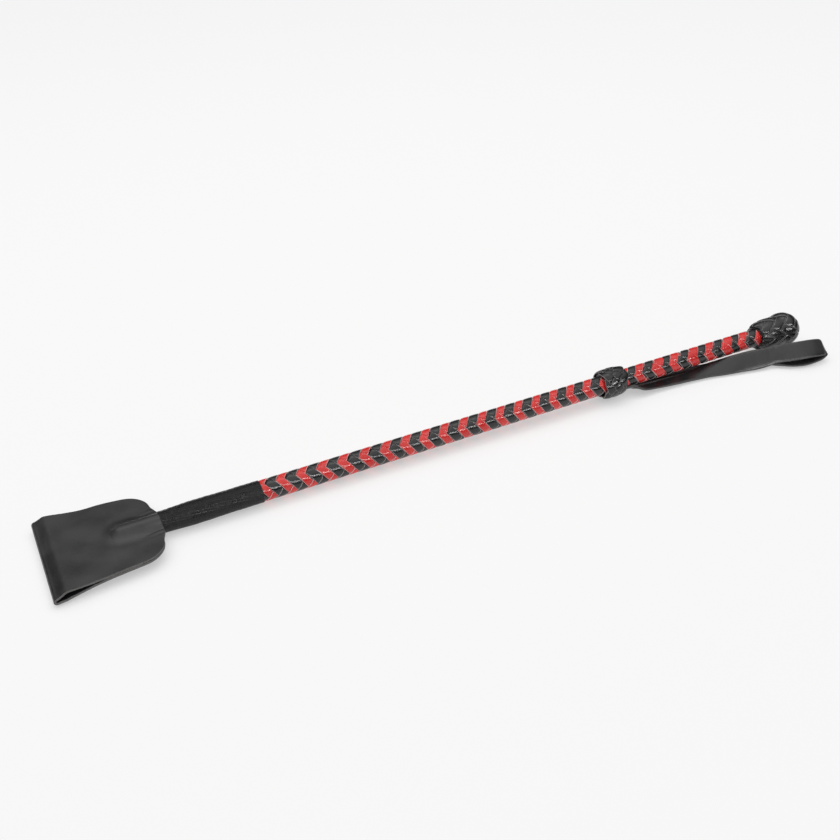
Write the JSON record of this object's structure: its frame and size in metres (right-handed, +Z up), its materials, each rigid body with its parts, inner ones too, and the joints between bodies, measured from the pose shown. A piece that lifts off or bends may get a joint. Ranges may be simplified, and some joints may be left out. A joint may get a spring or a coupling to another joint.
{
  "type": "riding crop",
  "caption": "Riding crop: braided shaft and handle with a folded leather flap at the tip, a ring knot, a wrist strap loop and a round woven pommel.",
  "frame": {"origin": "centre of the bounding box, on the surface that the crop lies on", "axes": "+X along the crop from the flap to the pommel, +Z up from the surface, +Y away from the side that the wrist strap lies on"},
  "size_m": [0.5151, 0.0646, 0.0243],
  "materials": {
    "core_rod": "pultruded glass-fibre rod, matt",
    "red_black_braid": "flat laces of red and black leather, semi-gloss, with pale cut edges",
    "red_lace": "dyed red leather lace, semi-gloss, pale cut edges",
    "black_lace": "dyed black leather lace, semi-gloss, pale cut edges",
    "flap_leather": "smooth black leather, satin, pale cut edges",
    "strap_leather": "soft black leather, satin",
    "knot_leather": "black leather lace, semi-gloss, worn edges",
    "whipping_thread": "black waxed thread, close wound",
    "pommel_wood": "turned beech, unfinished",
    "steel_nail": "plain steel"
  },
  "bodies": {
    "root": {"core_rod": "core_rod", "right_hand_laces": "black_lace", "left_hand_laces": "red_black_braid", "tip_lace_binding": "whipping_thread", "butt_lace_binding": "whipping_thread", "tip_whipping": "whipping_thread", "flap_root": "flap_leather", "strap_tabs": "strap_leather", "ring_filler": "knot_leather", "strap_binding": "whipping_thread", "ring_knot": "knot_leather", "pommel_core": "pommel_wood", "pommel_nail": "steel_nail", "pommel_collar": "knot_leather", "pommel_knot": "knot_leather"},
    "flap": {"flap_blade": "flap_leather"},
    "strap": {"wrist_strap": "strap_leather"}
  },
  "joints": [
    {"name": "flap_flex", "type": "hinge", "parent": "root", "child": "flap", "pos_m": [-0.22296, 0, 0.0053], "axis": [0, 1, 0], "range_deg": [-60, 60], "stiffness_Nm_per_rad": 0.15},
    {"name": "strap_swing", "type": "hinge", "parent": "root", "child": "strap", "pos_m": [0.109, -0.008, 0.004], "axis": [0, 0, 1], "range_deg": [-100, 0]}
  ]
}
